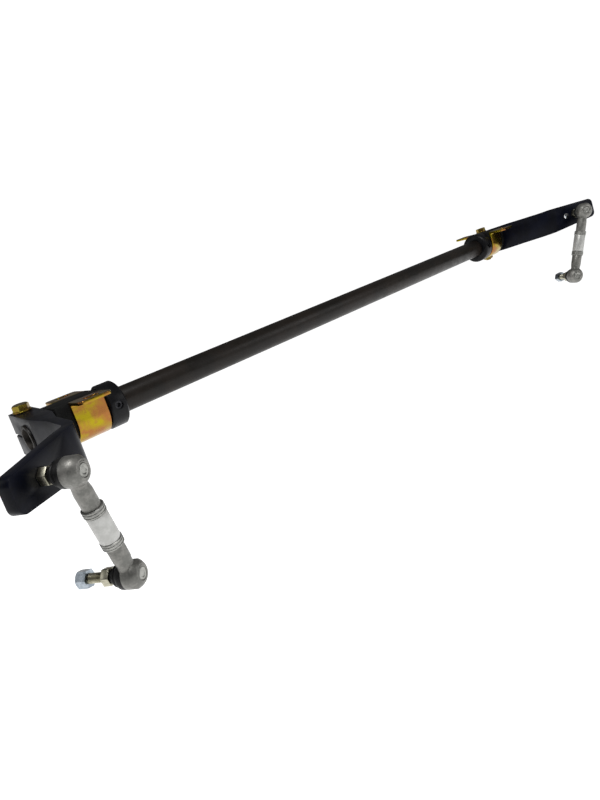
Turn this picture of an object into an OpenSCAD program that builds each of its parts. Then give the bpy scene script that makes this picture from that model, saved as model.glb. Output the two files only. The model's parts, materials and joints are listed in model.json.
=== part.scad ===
// Vehicle anti-roll bar with splayed clamp-on blade arms, saddle brackets and ball-jointed drop links.
// +X runs along the bar, +Z is up, and the blade arms reach towards -Y.
// The origin is on the bar's axis, midway between the two ends.

/* [Bar] */
// Distance between the inner faces of the two lock collars
collar_span = 640; // [400:5:1000]
// Outside diameter of the bar
bar_d = 25; // [20:0.5:32]
// Wall of the bar, which is a tube
bar_wall = 3; // [2:0.5:5]
// How far the bar's end stands out of the arm's hub
bar_stickout = 1.5; // [0.5:0.5:6]

/* [Lock collars] */
// Width of a collar along the bar
collar_w = 17; // [12:1:26]
// Radial wall of a collar
collar_wall = 8.7; // [7:0.1:12]
// Chamfer on the collar's rims
collar_chamfer = 1.6; // [0.5:0.1:2.5]
// Thread diameter of the collar's grub screw
grub_d = 8; // [5:1:8]
// How deep the grub screw is sunk below the collar's rim
grub_sink = 2; // [1:0.5:3]
// Across flats of the grub screw's socket
grub_socket = 4; // [2.5:0.5:4]

/* [Bushes and saddles] */
// Length of a rubber bush along the bar
bush_l = 44; // [34:1:60]
// Rubber between the bar and the saddle
bush_wall = 5.5; // [4:0.5:9]
// Radial running clearance of the bar in a bush
bush_clear = 0.05; // [0.02:0.01:0.1]
// Clearance along the bar between bush, collar and hub
end_play = 1; // [0.5:0.5:2]
// Width of a saddle along the bar
saddle_w = 30; // [24:1:34]
// Sheet thickness of a saddle
saddle_t = 3; // [2:0.5:4]
// Reach of a saddle's foot beyond its wall
foot_l = 23; // [18:1:34]
// Length of the fixing slot, from end to end
slot_l = 14; // [10:1:20]
// Width of the fixing slot
slot_w = 9; // [6:0.5:12]
// Inside bend radius between a saddle's wall and foot
foot_bend_r = 2; // [1:0.5:3]

/* [Arms] */
// Thickness of an arm's hub along the bar
hub_t = 20; // [17:1:30]
// Height of an arm at its hub
hub_h = 38; // [36:1:50]
// Wall of the hub between the pinch bolt and the hub's back
hub_back_wall = 10; // [8.5:0.5:16]
// Meat between the bore and the pinch bolt
pinch_wall = 9; // [2:0.5:14]
// Width of the clamping slit
slit_w = 2; // [1.5:0.5:5]
// Thickness of an arm's blade
blade_t = 9; // [6:0.5:12]
// Distance from the bar's axis to the blade's bend
arm_reach = 80; // [70:1:120]
// Length of the splayed part of the blade, from the bend to the tip
blade_l = 82; // [78:1:120]
// Splay of the blade from square to the bar
splay = 55; // [30:1:60]
// Mean radius of the bend
bend_r = 14; // [10:1:18]
// Height of the blade at the bend
blade_h = 36; // [30:1:38]
// Height of the blade at its tip
tip_h = 28; // [24:1:34]
// Corner radius of the tip
tip_r = 7; // [3:0.5:10]
// Distance from the bend to the link hole in use
hole_out = 51; // [46:1:60]
// Spacing between the two link holes
hole_pitch = 14; // [12:1:20]
// Angle that each arm is clamped at, the left one down and the right one up
clamp_angle = 4.2; // [0:0.1:8]

/* [Drop links] */
// Distance between the two ball centres of a link
link_l = 97; // [84:1:150]
// Diameter of the balls
ball_d = 13; // [12:0.5:14]
// Radial running clearance of a ball in its seat
ball_clear = 0.05; // [0.02:0.01:0.1]
// Diameter of a ball housing
housing_d = 22; // [21.5:0.5:25]
// Diameter of a link's shank
shank_d = 13.6; // [11:0.1:14.4]
// Diameter of the sleeve between the two shanks
sleeve_d = 15.6; // [14.5:0.1:18]
// Length of the sleeve with its two crimp rings
sleeve_l = 36; // [26:1:50]
// Length of one crimp ring
ring_l = 6; // [4:0.5:8]
// Angle that the left link hangs at, towards the bar
hang_left = 11.5; // [-30:0.5:30]
// Angle that the right link hangs at, towards the bar
hang_right = 24; // [-30:0.5:30]

/* [Fasteners] */
// Thread diameter of the pinch bolts and the ball studs
thread_d = 8; // [6:1:8]
// Across flats of the bolt heads, nuts and stud hexagons
hex_af = 13; // [10:0.5:15]
// Radial clearance of a bolt in its hole
bolt_clear = 0.25; // [0.1:0.05:0.5]
// Diameter of a plain washer
washer_d = 16; // [14:0.5:18]
// Thickness of a plain washer
washer_t = 1.6; // [1:0.1:2.5]
// Height of a bolt head
head_h = 5.3; // [4:0.1:7]
// Height of a plain nut
nut_h = 6.5; // [5:0.1:8]
// Length of thread that shows past a nut
thread_out = 1.5; // [0.5:0.5:4]
// Height of a stud's nut
stud_nut_h = 9; // [8:0.5:11]
// Distance from a ball's centre to the face that seats on the arm
ball_stand = 22; // [21.5:0.5:30]
// Height of a stud's hexagon
stud_hex_h = 6.6; // [4:0.1:6.8]
// Length of a stud's thread
stud_thread_l = 22; // [20:0.5:40]

/* [Hidden] */
$fn = 96;
hair = 0.01;
// how far the blade is drawn past its size before it is trimmed to it
trim = 1;
r_bar = bar_d / 2;
half_span = collar_span / 2;
// places along the bar, measured outwards from a collar's inner face
bush_at = collar_w + end_play;
saddle_at = bush_at + end_play;
hub_at = bush_at + bush_l + 2 * end_play;
hub_mid = hub_at + hub_t / 2;
bar_half = half_span + hub_at + hub_t + bar_stickout;
// bush and saddle
r_bush = r_bar + bush_wall;
r_saddle = r_bush + saddle_t;
saddle_top = r_bush + 0.5;
foot_end = r_saddle + foot_l;
slot_y = r_saddle + foot_bend_r + (foot_l - foot_bend_r) / 2;
// collar
r_collar = r_bar + collar_wall;
// hub and pinch bolt
hole_r = thread_d / 2 + bolt_clear;
pinch_y = r_bar + pinch_wall + hole_r;
hub_back = pinch_y + hub_back_wall;
hub_front = r_bar + 6;
hub_blend = hub_front + 24;
hub_chamfer = 1.5;
blade_at = hub_mid + 0.5;
bend_back = bend_r * tan(splay / 2);
// ball joints
r_ball = ball_d / 2;
seat_out = r_ball + 1.7;
seat_low = -r_ball - 1;
mouth_z = r_ball - 2;
housing_low = -r_ball - 3.1;
housing_top = r_ball + 0.5;
housing_ball = sqrt(pow(housing_d / 2 - 1, 2) + pow(housing_top, 2));
boot_step = 1.4;
shank_root = housing_top - 0.1;
neck_r = 3.4;
cap_r = r_ball - 1.5;
mouth_r = [r_ball - 0.9, r_ball + 0.4];
boot_in = housing_ball + 0.3;
hex_z = ball_stand - stud_hex_h;
boot_top = hex_z - 0.4;
ring_d = sleeve_d + 1;
shank_end = (link_l - sleeve_l) / 2;

// ---- placing ----

// Moves a piece that is drawn outwards from a collar's inner face to one end of the bar
module at_end(side) {
    mirror([side < 0 ? 1 : 0, 0, 0]) translate([half_span, 0, 0]) children();
}

// As at_end, turned about the bar to the angle that the arm is clamped at
module on_arm(side) {
    rotate([-side * clamp_angle, 0, 0]) at_end(side) children();
}

// The blade's own frame: +X from the bend to the tip, +Y out of its back face, +Z up
module on_blade() {
    translate([blade_at, -arm_reach, 0]) rotate([0, 0, splay - 90]) children();
}

// The frame of a stud in the outer hole: +Z from the ball's centre to the arm
module on_stud(side) {
    on_arm(side) on_blade()
        translate([hole_out, -blade_t / 2 - ball_stand, 0]) rotate([-90, 0, 0]) children();
}

// The link's frame: +Z along the stud and +X from the upper ball to the lower one
module on_link(side) {
    hang = side < 0 ? hang_left : hang_right;
    on_stud(side) rotate([0, 0, 90 + hang]) children();
}

// The lower joint's frame: the upper one's, turned end for end about the stud's direction
module on_lower(side) {
    on_link(side) translate([link_l, 0, 0]) rotate([0, 0, 180]) children();
}

// ---- shared shapes ----

module along_x(l, r) {
    rotate([0, 90, 0]) cylinder(h = l, r = r);
}

// Hexagonal prism by its across flats
module hex_prism(af, h) {
    cylinder(h = h, d = af / cos(30), $fn = 6);
}

// Hexagon with the turned chamfer of a bolt head or nut on its upper side
module chamfered_hex(af, h) {
    corner = af / cos(30) / 2;
    intersection() {
        hex_prism(af, h);
        rotate_extrude()
            polygon([[0, 0], [corner, 0], [corner, h - 1], [corner - 1.4, h], [0, h]]);
    }
}

// ---- bar and collars ----

module bar_tube() {
    color("#26231f")
    difference() {
        translate([-bar_half, 0, 0]) along_x(2 * bar_half, r_bar);
        translate([-bar_half - 1, 0, 0]) along_x(2 * bar_half + 2, r_bar - bar_wall);
    }
}

module collar(side) {
    color("#141416")
    at_end(side) difference() {
        rotate([0, 90, 0]) rotate_extrude()
            polygon([[r_bar, 0], [r_collar - collar_chamfer, 0], [r_collar, collar_chamfer],
                [r_collar, collar_w - collar_chamfer], [r_collar - collar_chamfer, collar_w],
                [r_bar, collar_w]]);
        translate([collar_w / 2, 0, 0]) rotate([90, 0, 0]) cylinder(h = r_collar + 1, d = grub_d);
    }
}

module collar_grub_screws() {
    socket_depth = 3;
    color("#1c1c1e")
    for (side = [-1, 1]) at_end(side)
        translate([collar_w / 2, 0, 0]) rotate([90, 0, 0]) difference() {
            translate([0, 0, r_bar + 0.2])
                cylinder(h = collar_wall - grub_sink - 0.2, d = grub_d);
            translate([0, 0, r_collar - grub_sink - socket_depth])
                hex_prism(grub_socket, socket_depth + 1);
        }
}

// ---- bushes and saddles ----

// Outline across the bar of a round bottom with straight walls up to a flat top
module d_outline(r, top) {
    intersection() {
        circle(r = r);
        translate([-r, -r]) square([2 * r, r + hair]);
    }
    translate([-r, 0]) square([2 * r, top]);
}

// Stands an outline across the bar up and extrudes it along the bar
module across_bar(at, l) {
    translate([at, 0, 0]) rotate([90, 0, 90]) linear_extrude(height = l) children();
}

module bush(side) {
    color("#101011")
    at_end(side) difference() {
        across_bar(bush_at, bush_l) d_outline(r_bush, saddle_top);
        translate([bush_at - 1, 0, 0]) along_x(bush_l + 2, r_bar + bush_clear);
    }
}

// Strap and feet seen along the bar, with rounded bends
module saddle_outline() {
    knee = foot_bend_r + saddle_t;
    difference() {
        d_outline(r_saddle, saddle_top);
        d_outline(r_bush, saddle_top + 1);
    }
    for (s = [0, 1]) mirror([s, 0]) {
        translate([r_saddle + foot_bend_r, saddle_top - saddle_t])
            square([foot_l - foot_bend_r, saddle_t]);
        difference() {
            translate([r_saddle - hair, saddle_top - knee]) square([foot_bend_r + 2 * hair, knee]);
            translate([r_saddle + foot_bend_r, saddle_top - knee]) circle(r = foot_bend_r);
        }
    }
}

module saddle(side) {
    corner = 5;
    color("#b8912c")
    at_end(side) difference() {
        across_bar(saddle_at, saddle_w) saddle_outline();
        for (y = [-slot_y, slot_y]) {
            for (dx = [-1, 1])
                translate([saddle_at + saddle_w / 2 + dx * (slot_l - slot_w) / 2, y, 0])
                    cylinder(h = saddle_top + 1, d = slot_w);
            translate([saddle_at + (saddle_w - slot_l + slot_w) / 2, y - slot_w / 2, 0])
                cube([slot_l - slot_w, slot_w, saddle_top + 1]);
        }
        for (x = [0, 1], y = [0, 1])
            translate([saddle_at + saddle_w / 2, 0, 0]) mirror([x, 0, 0]) mirror([0, y, 0])
                translate([-saddle_w / 2, -foot_end, 0]) difference() {
                    translate([-1, -1, 0]) cube([corner + 1, corner + 1, saddle_top + 1]);
                    translate([corner, corner, -1]) cylinder(h = saddle_top + 3, r = corner);
                }
    }
}

// ---- arms ----

// Points along an arc, from one angle to another
function arc(centre, r, from, to, steps) =
    [for (i = [0 : steps]) let (a = from + (to - from) * i / steps)
        centre + r * [cos(a), sin(a)]];

// A point of the blade seen from above: u along it from the bend, v out of its inner face
function blade_point(u, v) =
    [blade_at, -arm_reach] + u * [sin(splay), -cos(splay)] - v * [cos(splay), sin(splay)];

// Seen from above: the hub, thinning to the blade, which bends and runs out to its tip
module arm_plan() {
    half = hub_t / 2;
    skin = blade_t / 2;
    bend = [blade_at + bend_r, -arm_reach + bend_back];
    polygon(concat(
        [[hub_mid + half - hub_chamfer, hub_back], [hub_mid - half + hub_chamfer, hub_back],
            [hub_mid - half, hub_back - hub_chamfer], [hub_mid - half, -hub_front],
            [blade_at - skin, -hub_blend]],
        arc(bend, bend_r + skin, 180, 180 + splay, 20),
        [blade_point(blade_l + trim, skin), blade_point(blade_l + trim, -skin)],
        arc(bend, bend_r - skin, 180 + splay, 180, 20),
        [[blade_at + skin, -hub_blend], [hub_mid + half, -hub_front],
            [hub_mid + half, hub_back - hub_chamfer]]));
}

// Seen along the bar: the hub's height, falling to the blade's
module arm_side() {
    c = hub_chamfer;
    polygon([
        [-arm_reach - blade_l, -blade_h / 2], [-arm_reach, -blade_h / 2], [-hub_front, -hub_h / 2],
        [hub_back - c, -hub_h / 2], [hub_back, -hub_h / 2 + c],
        [hub_back, hub_h / 2 - c], [hub_back - c, hub_h / 2],
        [-hub_front, hub_h / 2], [-arm_reach, blade_h / 2], [-arm_reach - blade_l, blade_h / 2]]);
}

// What is trimmed off the blade for its taper and the round corners of its tip
module blade_trim() {
    past = blade_l + 2 * trim;
    on_blade() rotate([90, 0, 0]) translate([0, 0, -bend_r]) linear_extrude(height = 2 * bend_r)
        polygon(concat(
            [[0, hub_h], [0, blade_h / 2 + trim]],
            arc([blade_l - tip_r, tip_h / 2 - tip_r], tip_r, 90, 0, 8),
            arc([blade_l - tip_r, tip_r - tip_h / 2], tip_r, 0, -90, 8),
            [[0, -blade_h / 2 - trim], [0, -hub_h], [past, -hub_h], [past, hub_h]]));
}

module arm(side) {
    color("#1b1b20")
    on_arm(side) difference() {
        intersection() {
            translate([0, 0, -hub_h]) linear_extrude(height = 2 * hub_h) arm_plan();
            across_bar(hub_at - 1, hub_t + blade_l + bend_r) arm_side();
        }
        blade_trim();
        translate([hub_at - 1, 0, 0]) along_x(hub_t + 2, r_bar);
        translate([hub_at - 1, 0, -slit_w / 2]) cube([hub_t + 2, hub_back + 1, slit_w]);
        translate([hub_mid, pinch_y, -hub_h]) cylinder(h = 2 * hub_h, r = hole_r);
        for (u = [hole_out, hole_out - hole_pitch])
            on_blade() translate([u, blade_t, 0]) rotate([90, 0, 0])
                cylinder(h = 2 * blade_t, r = hole_r);
    }
}

// The frame of a pinch bolt, at the middle of the hub's height
module on_pinch(side) {
    on_arm(side) translate([hub_mid, pinch_y, 0]) children();
}

module pinch_bolts() {
    low = -hub_h / 2 - washer_t - nut_h - thread_out;
    color("#a8882f")
    for (side = [-1, 1]) on_pinch(side) {
        translate([0, 0, low]) cylinder(h = hub_h / 2 + washer_t - low, d = thread_d);
        translate([0, 0, hub_h / 2 + washer_t]) chamfered_hex(hex_af, head_h);
    }
}

module pinch_washers() {
    color("#c2a447")
    for (side = [-1, 1], z = [hub_h / 2, -hub_h / 2 - washer_t]) on_pinch(side)
        translate([0, 0, z]) difference() {
            cylinder(h = washer_t, d = washer_d);
            translate([0, 0, -1]) cylinder(h = washer_t + 2, d = thread_d);
        }
}

module pinch_nuts() {
    color("#a8882f")
    for (side = [-1, 1]) on_pinch(side)
        translate([0, 0, -hub_h / 2 - washer_t]) mirror([0, 0, 1]) difference() {
            chamfered_hex(hex_af, nut_h);
            translate([0, 0, -1]) cylinder(h = nut_h + 2, d = thread_d);
        }
}

// ---- ball joints and links, each drawn about its ball's centre ----

module stud() {
    color("#b9bbb6") {
        sphere(r = r_ball);
        cylinder(h = hex_z + hair, r = neck_r);
        translate([0, 0, hex_z]) hex_prism(hex_af, stud_hex_h);
        translate([0, 0, ball_stand - hair]) cylinder(h = stud_thread_l + hair, d = thread_d);
    }
}

// Tall nut with its chamfer away from the ball
module stud_nut() {
    color("#c9d0d2") difference() {
        chamfered_hex(hex_af, stud_nut_h);
        translate([0, 0, -1]) cylinder(h = stud_nut_h + 2, d = thread_d);
    }
}

// The boot's skirt is hollowed to a ball, so the housing tilts inside it without touching
module boot() {
    lip = housing_d / 2 - 2.7;
    lip_z = sqrt(boot_in * boot_in - lip * lip);
    color("#0e0e0f") difference() {
        rotate_extrude()
            polygon([[neck_r + 0.05, lip_z - 1], [lip, lip_z - 1], [lip + 0.3, lip_z + 0.9],
                [lip - 0.5, lip_z + 2.6], [neck_r + 1.8, boot_top], [neck_r + 0.05, boot_top]]);
        sphere(r = boot_in);
    }
}

// Ball housing with its shank, along +X to the sleeve, and a step for the boot's lip
module housing() {
    root = housing_d / 2;
    step_z = 2.6;
    color("#8c8d8b") difference() {
        union() {
            intersection() {
                sphere(r = housing_ball);
                union() {
                    translate([0, 0, housing_low]) cylinder(h = step_z - housing_low, r = root);
                    cylinder(h = housing_top, r = root - boot_step);
                }
            }
            rotate([0, 90, 0]) rotate_extrude()
                polygon([[0, 0], [shank_root, 0], [shank_root, root - 2.5], [shank_root - 0.9, root],
                    [shank_d / 2, root + 6], [shank_d / 2, shank_end], [0, shank_end]]);
        }
        translate([0, 0, seat_low]) cylinder(h = mouth_z - seat_low, r = seat_out);
        translate([0, 0, mouth_z - hair])
            cylinder(h = housing_top - mouth_z + 2 * hair, r1 = mouth_r[0], r2 = mouth_r[1]);
        translate([0, 0, housing_low - 1]) cylinder(h = seat_low - housing_low + 2, r = cap_r);
    }
}

// Plastic cup that the ball turns in
module seat() {
    color("#e8e4d8") difference() {
        translate([0, 0, seat_low]) cylinder(h = mouth_z - seat_low, r = seat_out);
        sphere(r = r_ball + ball_clear);
        translate([0, 0, mouth_z - 1.2]) cylinder(h = 3, r = mouth_r[0]);
    }
}

module cap() {
    color("#a9aaa6")
    translate([0, 0, housing_low - 0.3]) cylinder(h = seat_low - housing_low + 0.3, r = cap_r);
}

// Crimp ring over the end of the shank, where it meets the sleeve
module ring() {
    color("#6f706e")
    translate([shank_end, 0, 0]) rotate([0, 90, 0]) rotate_extrude()
        polygon([[0, 0], [ring_d / 2 - 0.6, 0], [ring_d / 2, 0.6],
            [ring_d / 2, ring_l - 0.6], [ring_d / 2 - 0.6, ring_l], [0, ring_l]]);
}

module sleeve(side) {
    color("#d8d8d5")
    on_link(side) translate([shank_end + ring_l, 0, 0]) along_x(sleeve_l - 2 * ring_l, sleeve_d / 2);
}

module upper_nut(side) {
    on_stud(side) translate([0, 0, ball_stand + blade_t]) stud_nut();
}

module lower_nut(side) {
    on_lower(side) translate([0, 0, ball_stand + stud_thread_l - stud_nut_h]) stud_nut();
}

bar_tube();
collar(-1);  // left_collar
collar(1);  // right_collar
collar_grub_screws();
bush(-1);  // left_bush
bush(1);  // right_bush
saddle(-1);  // left_saddle
saddle(1);  // right_saddle
arm(-1);  // left_arm
arm(1);  // right_arm
pinch_bolts();
pinch_washers();
pinch_nuts();
on_stud(-1) stud();  // left_upper_stud
upper_nut(-1);  // left_upper_nut
on_link(-1) boot();  // left_upper_boot
on_link(-1) housing();  // left_upper_housing
on_link(-1) seat();  // left_upper_seat
on_link(-1) cap();  // left_upper_cap
on_link(-1) ring();  // left_upper_ring
sleeve(-1);  // left_sleeve
on_lower(-1) ring();  // left_lower_ring
on_lower(-1) housing();  // left_lower_housing
on_lower(-1) seat();  // left_lower_seat
on_lower(-1) cap();  // left_lower_cap
on_lower(-1) boot();  // left_lower_boot
on_lower(-1) stud();  // left_lower_stud
lower_nut(-1);  // left_lower_nut
on_stud(1) stud();  // right_upper_stud
upper_nut(1);  // right_upper_nut
on_link(1) boot();  // right_upper_boot
on_link(1) housing();  // right_upper_housing
on_link(1) seat();  // right_upper_seat
on_link(1) cap();  // right_upper_cap
on_link(1) ring();  // right_upper_ring
sleeve(1);  // right_sleeve
on_lower(1) ring();  // right_lower_ring
on_lower(1) housing();  // right_lower_housing
on_lower(1) seat();  // right_lower_seat
on_lower(1) cap();  // right_lower_cap
on_lower(1) boot();  // right_lower_boot
on_lower(1) stud();  // right_lower_stud
lower_nut(1);  // right_lower_nut
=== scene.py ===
import json
import math

import bmesh
import bpy
from mathutils import Matrix, Quaternion, Vector


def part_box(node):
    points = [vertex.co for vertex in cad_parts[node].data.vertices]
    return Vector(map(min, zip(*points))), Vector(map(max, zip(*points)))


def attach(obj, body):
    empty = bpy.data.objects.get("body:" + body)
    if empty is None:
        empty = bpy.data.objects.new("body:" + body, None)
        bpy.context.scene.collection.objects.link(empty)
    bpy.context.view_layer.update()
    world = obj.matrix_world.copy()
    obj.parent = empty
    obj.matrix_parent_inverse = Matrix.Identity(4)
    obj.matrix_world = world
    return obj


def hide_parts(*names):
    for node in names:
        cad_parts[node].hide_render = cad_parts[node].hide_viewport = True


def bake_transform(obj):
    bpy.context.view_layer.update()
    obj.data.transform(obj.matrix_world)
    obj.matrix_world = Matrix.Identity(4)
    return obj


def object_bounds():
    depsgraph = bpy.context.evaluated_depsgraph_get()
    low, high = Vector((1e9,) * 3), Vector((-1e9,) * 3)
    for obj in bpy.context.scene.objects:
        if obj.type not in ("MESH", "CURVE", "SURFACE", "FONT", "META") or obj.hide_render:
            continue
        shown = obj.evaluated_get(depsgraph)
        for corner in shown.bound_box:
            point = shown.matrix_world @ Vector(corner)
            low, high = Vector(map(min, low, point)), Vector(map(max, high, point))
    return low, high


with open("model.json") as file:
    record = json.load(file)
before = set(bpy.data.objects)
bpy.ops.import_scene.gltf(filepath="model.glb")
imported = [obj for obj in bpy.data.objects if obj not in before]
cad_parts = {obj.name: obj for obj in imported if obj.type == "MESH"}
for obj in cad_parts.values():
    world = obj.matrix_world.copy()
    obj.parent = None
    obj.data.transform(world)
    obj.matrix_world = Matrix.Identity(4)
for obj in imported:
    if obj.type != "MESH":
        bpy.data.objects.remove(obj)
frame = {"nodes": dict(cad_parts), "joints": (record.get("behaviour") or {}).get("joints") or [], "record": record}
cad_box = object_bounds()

MM = 0.001
SIDES = ("left", "right")
LEVELS = ("upper", "lower")
# points closer than this are one point
SAME_POINT = 0.001 * MM

# ball stud and its thread
BALL_R = 6.5 * MM
NECK_R = 3.4 * MM
HEX_AF = 13 * MM
HEX_H = 6.6 * MM
BALL_STAND = 22 * MM
STUD_THREAD_L = 22 * MM
THREAD_R = 4 * MM
THREAD_PITCH = 1.25 * MM
# ball housing, as its top face and the disc that closes its back
HOUSING_TOP = BALL_R + 0.5 * MM
HOUSING_LOW = -BALL_R - 3.1 * MM
CAP_R = BALL_R - 1.5 * MM
# sleeve with its two crimp rings, midway along a link
SLEEVE_L = 36 * MM
RING_L = 6 * MM
RING_R = 8.3 * MM
# rubber boot, from the housing's top to just under the stud's hexagon
BOOT_TOP = BALL_STAND - HEX_H - 0.4 * MM
BOOT_WALL = 0.9 * MM
BOOT_SEAT_R = 9.65 * MM

joints = {j["name"]: j for j in frame["joints"]}


# ---- camera, floor and lights ----

def place_camera():
    """A camera beside the left end, looking along the bar, tipped down and rolled."""
    turn = math.radians(38.91)
    tip = math.radians(-14.04)
    roll = math.radians(-17.31)
    ahead = Vector((math.sin(turn) * math.cos(tip), math.cos(turn) * math.cos(tip), math.sin(tip)))
    data = bpy.data.cameras.new("camera")
    data.lens = 26.58
    data.clip_start = 0.01
    camera = bpy.data.objects.new("camera", data)
    camera.location = (-0.5355, -0.5243, 0.0853)
    camera.rotation_mode = "QUATERNION"
    camera.rotation_quaternion = ahead.to_track_quat("-Z", "Y") @ Quaternion((0, 0, 1), roll)
    bpy.context.scene.collection.objects.link(camera)
    bpy.context.scene.camera = camera


def lay_floor():
    """A plain white floor well under the lowest link, wide enough to have no visible edge."""
    gap = 250 * MM
    bm = bmesh.new()
    bmesh.ops.create_grid(bm, x_segments=1, y_segments=1, size=30)
    bmesh.ops.translate(bm, verts=bm.verts, vec=(0, 0, cad_box[0].z - gap))
    mesh = bpy.data.meshes.new("floor")
    bm.to_mesh(mesh)
    bm.free()
    floor = bpy.data.objects.new("floor", mesh)
    bpy.context.scene.collection.objects.link(floor)
    material = bpy.data.materials.new("floor white")
    material.use_nodes = True
    shader = material.node_tree.nodes["Principled BSDF"]
    shader.inputs["Base Color"].default_value = (0.93, 0.93, 0.93, 1)
    shader.inputs["Roughness"].default_value = 0.9
    shader.inputs["Emission Color"].default_value = (1, 1, 1, 1)
    shader.inputs["Emission Strength"].default_value = 0.72
    mesh.materials.append(material)


def softbox(name, where, target, size, power):
    """A rectangular light of the given width and height in metres, turned to its target."""
    data = bpy.data.lights.new(name, "AREA")
    data.shape = "RECTANGLE"
    data.size, data.size_y = size
    data.energy = power
    light = bpy.data.objects.new(name, data)
    light.location = where
    light.rotation_mode = "QUATERNION"
    light.rotation_quaternion = (Vector(target) - Vector(where)).to_track_quat("-Z", "Y")
    bpy.context.scene.collection.objects.link(light)


def light_studio():
    """A white world that lights softly and shows dimly in gloss, with a broad softbox overhead and two
    lower ones."""
    world = bpy.data.worlds.new("studio")
    world.use_nodes = True
    wires = Wiring(world.node_tree)
    background = world.node_tree.nodes["Background"]
    background.inputs["Color"].default_value = (1, 1, 1, 1)
    rays = wires.node("ShaderNodeLightPath").outputs
    lit = wires.remap(rays["Is Glossy Ray"], 0.0, 1.0, 0.36, 0.13)
    wires.feed(wires.remap(rays["Is Camera Ray"], 0.0, 1.0, lit, 1.2), background.inputs["Strength"])
    bpy.context.scene.world = world
    bpy.context.scene.view_settings.view_transform = "Standard"
    softbox("key", (-0.6, -0.5, 1.3), (0, 0, 0), (1.0, 0.35), 14)
    softbox("side", (-1.4, 0.5, 0.6), (-0.3, 0, 0), (0.5, 1.0), 2)
    softbox("fill", (0.9, -1.3, 0.7), (0.2, 0, 0), (0.8, 0.8), 6)


# ---- effects that several finishes share ----

class Wiring:
    """Adds nodes to a material's tree or a group's, and joins their sockets."""

    def __init__(self, tree):
        self.tree = tree

    def node(self, kind, **settings):
        made = self.tree.nodes.new(kind)
        for name, value in settings.items():
            setattr(made, name, value)
        return made

    def feed(self, source, target):
        """source is another node's socket, or a plain value."""
        if isinstance(source, bpy.types.NodeSocket):
            self.tree.links.new(source, target)
        else:
            target.default_value = source

    def remap(self, value, low, high, to_low, to_high):
        made = self.node("ShaderNodeMapRange")
        for source, target in zip((value, low, high, to_low, to_high), made.inputs):
            self.feed(source, target)
        return made.outputs["Result"]


def new_group(name, numbers, colours, outputs):
    """An empty effect group with number and colour inputs, ready to be wired."""
    tree = bpy.data.node_groups.new(name, "ShaderNodeTree")
    for label, value in numbers.items():
        tree.interface.new_socket(label, in_out="INPUT", socket_type="NodeSocketFloat").default_value = value
    for label in colours:
        tree.interface.new_socket(label, in_out="INPUT", socket_type="NodeSocketColor")
    for label, kind in outputs.items():
        tree.interface.new_socket(label, in_out="OUTPUT", socket_type="NodeSocket" + kind)
    wires = Wiring(tree)
    return tree, wires, wires.node("NodeGroupInput").outputs, wires.node("NodeGroupOutput").inputs


def noise(wires, where, scale, detail=4.0, roughness=0.55):
    made = wires.node("ShaderNodeTexNoise")
    wires.feed(where, made.inputs["Vector"])
    wires.feed(scale, made.inputs["Scale"])
    wires.feed(detail, made.inputs["Detail"])
    wires.feed(roughness, made.inputs["Roughness"])
    return made.outputs["Fac"]


def mix(wires, amount, first, second):
    """Blends two colours. The node has a float, a vector and a colour pair, and only the last is used."""
    made = wires.node("ShaderNodeMix", data_type="RGBA")
    wires.feed(amount, made.inputs[0])
    wires.feed(first, made.inputs[6])
    wires.feed(second, made.inputs[7])
    return made.outputs[2]


def make_drift():
    """Colour that wanders between two tones in soft patches, with a finer mottle on top."""
    tree, wires, given, out = new_group(
        "tone drift", {"Patch": 60.0, "Mottle": 700.0}, ("Tone A", "Tone B"), {"Colour": "Color"})
    where = wires.node("ShaderNodeTexCoord").outputs["Object"]
    broad = wires.remap(noise(wires, where, given["Patch"], detail=3.0), 0.38, 0.62, 0.0, 1.0)
    fine = wires.remap(noise(wires, where, given["Mottle"], detail=2.0), 0.3, 0.7, -0.25, 0.25)
    both = wires.node("ShaderNodeMath", operation="ADD", use_clamp=True)
    wires.feed(broad, both.inputs[0])
    wires.feed(fine, both.inputs[1])
    wires.feed(mix(wires, both.outputs[0], given["Tone A"], given["Tone B"]), out["Colour"])
    return tree


def make_skin():
    """A surface's fine grain: a height for bump, and a gloss that varies with handling."""
    tree, wires, given, out = new_group(
        "surface skin", {"Grain": 2500.0, "Smear": 90.0, "Roughness": 0.4, "Spread": 0.1}, (),
        {"Height": "Float", "Roughness": "Float"})
    where = wires.node("ShaderNodeTexCoord").outputs["Object"]
    wires.feed(noise(wires, where, given["Grain"], detail=3.0), out["Height"])
    spread = wires.node("ShaderNodeMath", operation="MULTIPLY_ADD", use_clamp=True)
    smear = noise(wires, where, given["Smear"], detail=5.0, roughness=0.7)
    wires.feed(wires.remap(smear, 0.3, 0.7, -1.0, 1.0), spread.inputs[0])
    wires.feed(given["Spread"], spread.inputs[1])
    wires.feed(given["Roughness"], spread.inputs[2])
    wires.feed(spread.outputs[0], out["Roughness"])
    return tree


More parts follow.
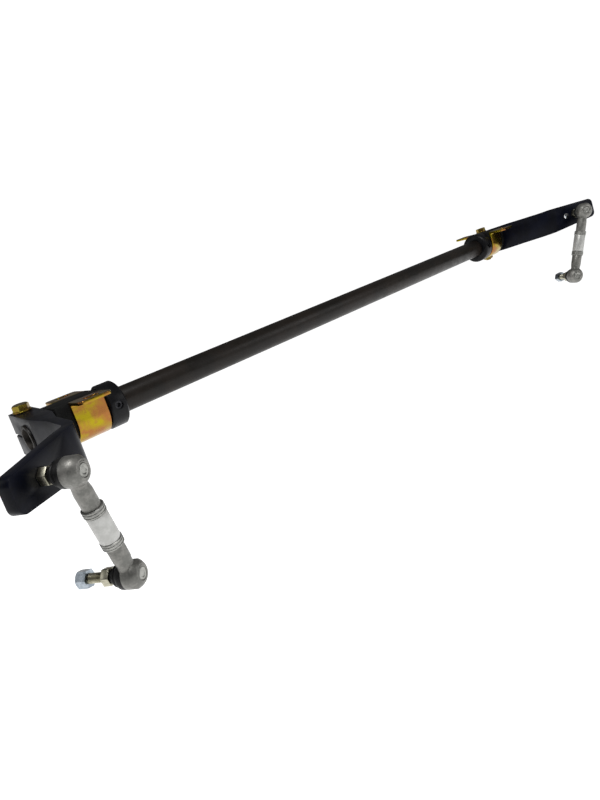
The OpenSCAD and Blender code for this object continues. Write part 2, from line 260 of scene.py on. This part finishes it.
def make_scuffs():
    """A mask of sparse specks and short rubbed marks."""
    tree, wires, given, out = new_group(
        "scuffs and dust", {"Specks": 900.0, "Amount": 0.3}, (), {"Mask": "Float"})
    where = wires.node("ShaderNodeTexCoord").outputs["Object"]
    stretch = wires.node("ShaderNodeMapping")
    stretch.inputs["Scale"].default_value = (0.25, 1, 1)
    wires.feed(where, stretch.inputs["Vector"])
    fine = noise(wires, stretch.outputs[0], given["Specks"], detail=6.0, roughness=0.75)
    specks = wires.remap(fine, 0.64, 0.74, 0.0, 1.0)
    broad = noise(wires, where, scale=45.0, detail=2.0)
    patches = wires.remap(broad, 0.45, 0.65, 0.0, 1.0)
    together = wires.node("ShaderNodeMath", operation="MULTIPLY")
    wires.feed(specks, together.inputs[0])
    wires.feed(patches, together.inputs[1])
    amount = wires.node("ShaderNodeMath", operation="MULTIPLY")
    wires.feed(together.outputs[0], amount.inputs[0])
    wires.feed(given["Amount"], amount.inputs[1])
    wires.feed(amount.outputs[0], out["Mask"])
    return tree


DRIFT = make_drift()
SKIN = make_skin()
SCUFFS = make_scuffs()


def finish(name, tones, patch, metallic, rough, grain, scuff=None, specular=0.5, mottle=700.0):
    """A finish whose colour drifts between two tones, with grain, smears and specks.
    rough is (roughness, spread); grain is (scale, depth in metres); scuff is (colour, amount)."""
    material = bpy.data.materials.new(name)
    material.use_nodes = True
    wires = Wiring(material.node_tree)
    shader = material.node_tree.nodes["Principled BSDF"]
    drift = wires.node("ShaderNodeGroup", node_tree=DRIFT)
    drift.inputs["Patch"].default_value = patch
    drift.inputs["Mottle"].default_value = mottle
    drift.inputs["Tone A"].default_value = (*tones[0], 1)
    drift.inputs["Tone B"].default_value = (*tones[1], 1)
    skin = wires.node("ShaderNodeGroup", node_tree=SKIN)
    skin.inputs["Grain"].default_value = grain[0]
    skin.inputs["Roughness"].default_value = rough[0]
    skin.inputs["Spread"].default_value = rough[1]
    colour = drift.outputs["Colour"]
    if scuff:
        marks = wires.node("ShaderNodeGroup", node_tree=SCUFFS)
        marks.inputs["Amount"].default_value = scuff[1]
        colour = mix(wires, marks.outputs["Mask"], colour, (*scuff[0], 1))
    bump = wires.node("ShaderNodeBump")
    bump.inputs["Distance"].default_value = grain[1]
    bump.inputs["Strength"].default_value = 0.6
    wires.feed(skin.outputs["Height"], bump.inputs["Height"])
    wires.feed(colour, shader.inputs["Base Color"])
    wires.feed(skin.outputs["Roughness"], shader.inputs["Roughness"])
    wires.feed(bump.outputs["Normal"], shader.inputs["Normal"])
    shader.inputs["Metallic"].default_value = metallic
    shader.inputs["Specular IOR Level"].default_value = specular
    return material


# ---- the finishes, one for each of the record's slots ----

def bar_black():
    """Satin black over drawn tube, slightly brown where it is thin."""
    return finish("bar black", ((0.006, 0.005, 0.004), (0.011, 0.008, 0.006)), 35, 0.0,
                  (0.40, 0.08), (1800, 0.05 * MM), ((0.04, 0.03, 0.024), 0.35), specular=0.2)


def bore_painted_shade():
    """Near-black steel down the bar's bore and on its cut ends: painted shade of the tube's inside, carried onto
    the cut ends too, with rust-brown specks.
    """
    return finish("bore painted shade", ((0.010, 0.009, 0.008), (0.030, 0.026, 0.022)), 120, 0.5,
                  (0.55, 0.10), (2600, 0.05 * MM), ((0.06, 0.035, 0.02), 0.5), specular=0.3)


def collar_black():
    return finish("collar black", ((0.002, 0.002, 0.0025), (0.005, 0.005, 0.006)), 70, 0.0,
                  (0.36, 0.08), (2400, 0.05 * MM), ((0.04, 0.04, 0.04), 0.3), specular=0.15)


def screw_black():
    """Black oxide."""
    return finish("screw black", ((0.022, 0.022, 0.025), (0.05, 0.05, 0.055)), 300, 0.9,
                  (0.40, 0.08), (3000, 0.04 * MM))


def bush_rubber():
    """Moulded rubber with a dusty bloom."""
    return finish("bush rubber", ((0.003, 0.003, 0.003), (0.007, 0.007, 0.007)), 90, 0.0,
                  (0.70, 0.10), (3200, 0.10 * MM), ((0.03, 0.03, 0.03), 0.4), specular=0.12)


def boot_rubber():
    return finish("boot rubber", ((0.003, 0.003, 0.003), (0.008, 0.008, 0.008)), 160, 0.0,
                  (0.50, 0.10), (3600, 0.06 * MM), ((0.03, 0.03, 0.03), 0.3), specular=0.2)


def yellow_zinc():
    """Passivated zinc, gold with pink and green casts."""
    return finish("yellow zinc", ((0.32, 0.25, 0.012), (0.29, 0.12, 0.035)), 60, 1.0,
                  (0.24, 0.07), (2200, 0.02 * MM), ((0.22, 0.26, 0.05), 0.7), mottle=180)


def yellow_zinc_bolt():
    return finish("yellow zinc bolt", ((0.27, 0.22, 0.03), (0.26, 0.15, 0.04)), 160, 1.0,
                  (0.30, 0.08), (2600, 0.02 * MM), ((0.30, 0.36, 0.12), 0.5))


def arm_gloss_black():
    """Thick gloss powder coat with a slight orange peel."""
    return finish("arm gloss black", ((0.0012, 0.0015, 0.0035), (0.0025, 0.0032, 0.008)), 40, 0.0,
                  (0.34, 0.06), (420, 0.04 * MM), ((0.02, 0.02, 0.03), 0.25), specular=0.10)


def stud_steel():
    """Zinc plate with an olive tone."""
    return finish("stud steel", ((0.30, 0.29, 0.22), (0.42, 0.40, 0.32)), 220, 1.0,
                  (0.33, 0.08), (2800, 0.04 * MM), ((0.20, 0.19, 0.12), 0.6))


def bright_zinc():
    return finish("bright zinc", ((0.20, 0.23, 0.26), (0.34, 0.38, 0.42)), 200, 1.0,
                  (0.22, 0.07), (2800, 0.03 * MM), ((0.36, 0.38, 0.40), 0.5))


def cast_grey():
    """Phosphated forging with a coarse skin."""
    return finish("cast grey", ((0.13, 0.13, 0.12), (0.22, 0.215, 0.20)), 110, 0.7,
                  (0.44, 0.08), (1500, 0.16 * MM), ((0.36, 0.36, 0.34), 0.35))


def seat_plastic():
    return finish("seat plastic", ((0.74, 0.72, 0.64), (0.84, 0.82, 0.74)), 150, 0.0,
                  (0.45, 0.06), (2400, 0.03 * MM))


def cap_grey():
    """Pressed steel disc."""
    return finish("cap grey", ((0.22, 0.22, 0.205), (0.32, 0.32, 0.30)), 180, 1.0,
                  (0.36, 0.08), (2400, 0.05 * MM), ((0.18, 0.17, 0.15), 0.5))


def ring_grey():
    return finish("ring grey", ((0.20, 0.20, 0.19), (0.32, 0.32, 0.30)), 180, 0.8,
                  (0.42, 0.08), (2400, 0.05 * MM), ((0.42, 0.42, 0.42), 0.4))


def sleeve_aluminium():
    """Satin aluminium."""
    return finish("sleeve aluminium", ((0.36, 0.36, 0.345), (0.45, 0.45, 0.435)), 130, 0.5,
                  (0.40, 0.08), (2600, 0.05 * MM), ((0.46, 0.46, 0.46), 0.4))


SLOT_FINISHES = {f.__name__: f() for f in (
    bar_black, collar_black, screw_black, bush_rubber, boot_rubber, yellow_zinc, yellow_zinc_bolt,
    arm_gloss_black, stud_steel, bright_zinc, cast_grey, seat_plastic, cap_grey, ring_grey,
    sleeve_aluminium)}


# ---- shaping ----

def piece(name, bm, body, slot, smooth=35):
    """Makes an object of a finished bmesh. body is None for a piece that is left on no body, such as a boot that
    spans two.
    """
    bmesh.ops.recalc_face_normals(bm, faces=bm.faces)
    mesh = bpy.data.meshes.new(name)
    bm.to_mesh(mesh)
    bm.free()
    mesh.polygons.foreach_set("use_smooth", [True] * len(mesh.polygons))
    mesh.set_sharp_from_angle(angle=math.radians(smooth))
    mesh.materials.append(SLOT_FINISHES[slot])
    obj = bpy.data.objects.new(name, mesh)
    bpy.context.scene.collection.objects.link(obj)
    if body:
        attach(obj, body)
    return obj


def spun(outline, closed=False, steps=48):
    """An outline of (radius, height) points turned about the Z axis."""
    bm = bmesh.new()
    verts = [bm.verts.new((r, 0, z)) for r, z in outline]
    ends = zip(verts, verts[1:] + verts[:1]) if closed else zip(verts, verts[1:])
    edges = [bm.edges.new(pair) for pair in ends]
    bmesh.ops.spin(bm, geom=verts + edges, cent=(0, 0, 0), axis=(0, 0, 1), dvec=(0, 0, 0),
                   angle=math.tau, steps=steps, use_merge=True, use_duplicate=False)
    bmesh.ops.remove_doubles(bm, verts=bm.verts, dist=SAME_POINT)
    return bm


def threaded(radius, length):
    """A right-hand screw thread along +Z from 0, closed at both ends. Its outline is one turn's (dip, rise),
    as shares of the depth and the pitch."""
    steps = 24
    depth = 0.6 * THREAD_PITCH
    # a rim's points are this near the plane that cut it
    near = 0.01 * MM
    turns = math.ceil(length / THREAD_PITCH) + 2
    bm = bmesh.new()
    outline = ((0, 0), (0, 0.13), (1, 0.5), (1, 0.63), (0, 1))
    verts = [bm.verts.new((radius - dip * depth, 0, (up - 1) * THREAD_PITCH)) for dip, up in outline]
    edges = [bm.edges.new(pair) for pair in zip(verts, verts[1:])]
    bmesh.ops.spin(bm, geom=verts + edges, cent=(0, 0, 0), axis=(0, 0, 1),
                   dvec=(0, 0, THREAD_PITCH / steps), angle=math.tau * turns, steps=steps * turns,
                   use_merge=False, use_duplicate=False)
    bmesh.ops.remove_doubles(bm, verts=bm.verts, dist=SAME_POINT)
    for height, outward in ((0, -1), (length, 1)):
        bmesh.ops.bisect_plane(bm, geom=bm.verts[:] + bm.edges[:] + bm.faces[:], dist=SAME_POINT,
                               plane_co=(0, 0, height), plane_no=(0, 0, outward), clear_outer=True)
        rim = [e for e in bm.edges
               if e.is_boundary and all(abs(v.co.z - height) < near for v in e.verts)]
        bmesh.ops.edgeloop_fill(bm, edges=rim)
    return bm


def sharp_edges(bm, angle):
    """The edges whose two faces meet at more than an angle in degrees."""
    return [e for e in bm.edges if e.is_manifold and e.calc_face_angle() > math.radians(angle)]


def round_over(bm, edges, width, clamp=False):
    """Rounds edges in two steps. clamp narrows the rounding where two of them would meet."""
    bmesh.ops.bevel(bm, geom=edges, offset=width, offset_type="OFFSET", segments=2, profile=0.5,
                    affect="EDGES", clamp_overlap=clamp, material=-1)


def hexagon(across_flats, height, base, rounding):
    """A hexagonal prism from base upwards, with its edges broken."""
    half_side = math.pi / 6
    corner = across_flats / 2 / math.cos(half_side)
    bm = bmesh.new()
    bmesh.ops.create_cone(bm, segments=6, cap_ends=True, radius1=corner, radius2=corner, depth=height)
    bmesh.ops.rotate(bm, verts=bm.verts, matrix=Matrix.Rotation(half_side, 3, "Z"))
    bmesh.ops.translate(bm, verts=bm.verts, vec=(0, 0, base + height / 2))
    round_over(bm, bm.edges[:], rounding)
    return bm


def joined(*shells):
    """Several closed shells as one bmesh."""
    whole = bmesh.new()
    for bm in shells:
        mesh = bpy.data.meshes.new("shell")
        bm.to_mesh(mesh)
        bm.free()
        whole.from_mesh(mesh)
        bpy.data.meshes.remove(mesh)
    return whole


def merged_copy(node):
    """A CAD node's mesh with its doubles merged and its flat faces whole."""
    bm = bmesh.new()
    bm.from_mesh(frame["nodes"][node].data)
    bmesh.ops.remove_doubles(bm, verts=bm.verts, dist=SAME_POINT)
    bmesh.ops.dissolve_limit(bm, angle_limit=math.radians(0.5), verts=bm.verts, edges=bm.edges)
    return bm


def softened(node, slot, width, body, sharp=35):
    """Replaces a CAD node by a copy of it whose sharp edges are rounded over."""
    bm = merged_copy(node)
    round_over(bm, sharp_edges(bm, sharp), width, clamp=True)
    obj = piece(node + "_finished", bm, body, slot)
    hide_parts(node)


# ---- where the ball joints are ----

def ball_centre(side, level):
    joint = "_link_swing" if level == "upper" else "_stud_spin"
    return Vector(joints[side + joint]["pos_m"])


def ball_frame(side, level):
    """The matrix of a ball joint: its centre, +Z to the stud's hexagon, +X along the link."""
    outward = Vector(joints[side + "_link_swing"]["axis"])
    if side == "left":
        outward.negate()
    other = "lower" if level == "upper" else "upper"
    centre = ball_centre(side, level)
    along = (ball_centre(side, other) - centre).normalized()
    turned = Matrix((along, outward.cross(along), outward)).transposed().to_4x4()
    return Matrix.Translation(centre) @ turned


def at_ball(bm, side, level):
    """Moves a mesh that was made about the origin to a ball joint."""
    bmesh.ops.transform(bm, matrix=ball_frame(side, level), verts=bm.verts)
    return bm


def stud_body(side, level):
    """The upper studs are bolted to the arms, and the lower ones turn by themselves."""
    return "bar" if level == "upper" else side + "_lower_stud"


# ---- the pieces ----

def make_stud(side, level):
    """Ball, neck, hexagon and screw thread."""
    step, last = 6, 150
    angles = [math.radians(a) for a in range(step, last + step, step)]
    ball = [(BALL_R * math.sin(a), -BALL_R * math.cos(a)) for a in angles]
    neck_end = BOOT_TOP + 0.5 * MM
    neck = [(NECK_R, BALL_R), (NECK_R, neck_end), (0, neck_end)]
    shank = spun([(0, -BALL_R)] + ball + neck)
    nut_hex = hexagon(HEX_AF, HEX_H, BALL_STAND - HEX_H, rounding=0.45 * MM)
    thread = threaded(THREAD_R, STUD_THREAD_L)
    bmesh.ops.translate(thread, verts=thread.verts, vec=(0, 0, BALL_STAND))
    bm = at_ball(joined(shank, nut_hex, thread), side, level)
    name = f"{side}_{level}_stud"
    obj = piece(name + "_threaded", bm, stud_body(side, level), "stud_steel")
    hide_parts(name)


def make_boot(side, level):
    """Two-fold rubber bellows, held by the housing at its lip and by the stud at its neck."""
    lip = ((9.65, 2.75), (10.8, 2.75), (10.9, 3.4), (10.9, 5.6))
    folds = ((10.6, 7.0), (9.9, 8.2), (8.6, 9.1), (8.0, 9.8), (8.7, 10.5), (8.7, 11.2), (7.3, 12.2))
    neck = ((6.0, 12.9), (6.2, 13.5), (6.2, 14.4), (5.6, 15.0))
    outer = [(r * MM, z * MM) for r, z in lip + folds + neck]
    grip_r = NECK_R + 0.05 * MM
    inner = [(grip_r, BOOT_TOP), (grip_r, BOOT_TOP - 2 * MM)]
    inner += [(r - BOOT_WALL, z) for r, z in reversed(outer[len(lip):-len(neck)])]
    inner += [(BOOT_SEAT_R, HOUSING_TOP)]
    bm = at_ball(spun(outer + inner, closed=True), side, level)
    name = f"{side}_{level}_boot"
    obj = piece(name + "_bellows", bm, None, "boot_rubber", smooth=70)
    soft = obj.modifiers.new("rounded folds", "SUBSURF")
    soft.levels = soft.render_levels = 1
    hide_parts(name)
    fit = ball_frame(side, level)
    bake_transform(obj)


def make_cap(side, level):
    """Pressed disc with a dished middle, and the rolled lip that holds it in the housing."""
    rim = CAP_R - 0.1 * MM
    edge = 0.4 * MM
    face = HOUSING_LOW - 0.3 * MM
    back = HOUSING_LOW + 2 * MM
    dish = [(r * MM, face + deep * MM) for r, deep in ((0, 0.5), (2.4, 0.5), (2.9, 0.1), (3.3, 0))]
    disc = spun(dish + [(rim - edge, face), (rim, face + edge), (rim, back), (0, back)])
    obj = piece(f"{side}_{level}_cap_pressed", at_ball(disc, side, level), side + "_link", "cap_grey")
    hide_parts(f"{side}_{level}_cap")
    roll = ((0, 0.5), (0, -0.1), (0.4, -0.45), (1.0, -0.45), (1.7, 0), (1.7, 0.5))
    lip = spun([(CAP_R + out * MM, HOUSING_LOW + up * MM) for out, up in roll], closed=True)
    piece(f"{side}_{level}_rolled_lip", at_ball(lip, side, level), side + "_link", "cast_grey")


def make_ring(side, level):
    """Crimp ring with two rolled grooves and broken edges, over the end of a housing's shank."""
    link_l = (ball_centre(side, "upper") - ball_centre(side, "lower")).length
    start = (link_l - SLEEVE_L) / 2
    groove = ((0, 0), (0.3, 0.5), (0.8, 0.5), (1.1, 0))
    steps = [(0, 1.2), (0, 0.7), (0.5, 0)]
    for begin in (1.3, 3.6):
        steps += [(begin + along, dip) for along, dip in groove]
    steps += [(5.5, 0), (6, 0.7), (6, 1.2)]
    outline = [(RING_R - dip * MM, start + along * MM) for along, dip in steps]
    bm = spun([(0, start)] + outline + [(0, start + RING_L)])
    bmesh.ops.rotate(bm, verts=bm.verts, matrix=Matrix.Rotation(math.pi / 2, 3, "Y"))
    at_ball(bm, side, level)
    obj = piece(f"{side}_{level}_ring_crimped", bm, side + "_link", "ring_grey", smooth=30)
    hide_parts(f"{side}_{level}_ring")


def make_bar():
    """The tube with its rims broken, with near-black painted shade on the cut ends and down the bore."""
    bm = merged_copy("bar_tube")
    round_over(bm, sharp_edges(bm, 60), 0.4 * MM)
    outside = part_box("bar_tube")[1].y - 0.45 * MM
    # faces inside the outer skin, the cut ends and the bore, take the second finish, the near-black painted shade
    for face in bm.faces:
        middle = face.calc_center_median()
        face.material_index = int(math.hypot(middle.y, middle.z) < outside)
    obj = piece("bar_tube_finished", bm, "bar", "bar_black")
    # second finish: near-black painted shade down the bore and on the cut ends
    obj.data.materials.append(bore_painted_shade())
    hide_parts("bar_tube")


def dress_cad_nodes():
    """Gives every CAD node the finish of its slot in the record."""
    for subpart in frame["record"]["subparts"]:
        materials = frame["nodes"][subpart["node"]].data.materials
        materials.clear()
        materials.append(SLOT_FINISHES[subpart["material_slot"]])


place_camera()
lay_floor()
light_studio()
dress_cad_nodes()
make_bar()
softened("pinch_washers", "yellow_zinc_bolt", 0.25 * MM, "bar")
for side in SIDES:
    softened(side + "_arm", "arm_gloss_black", 0.8 * MM, "bar")
    softened(side + "_collar", "collar_black", 0.4 * MM, "bar")
    softened(side + "_saddle", "yellow_zinc", 0.4 * MM, "chassis_brackets")
    softened(side + "_bush", "bush_rubber", 0.8 * MM, "chassis_brackets", sharp=50)
    softened(side + "_sleeve", "sleeve_aluminium", 0.5 * MM, side + "_link")
    for level in LEVELS:
        softened(f"{side}_{level}_housing", "cast_grey", 0.7 * MM, side + "_link")
        make_stud(side, level)
        make_boot(side, level)
        make_cap(side, level)
        make_ring(side, level)
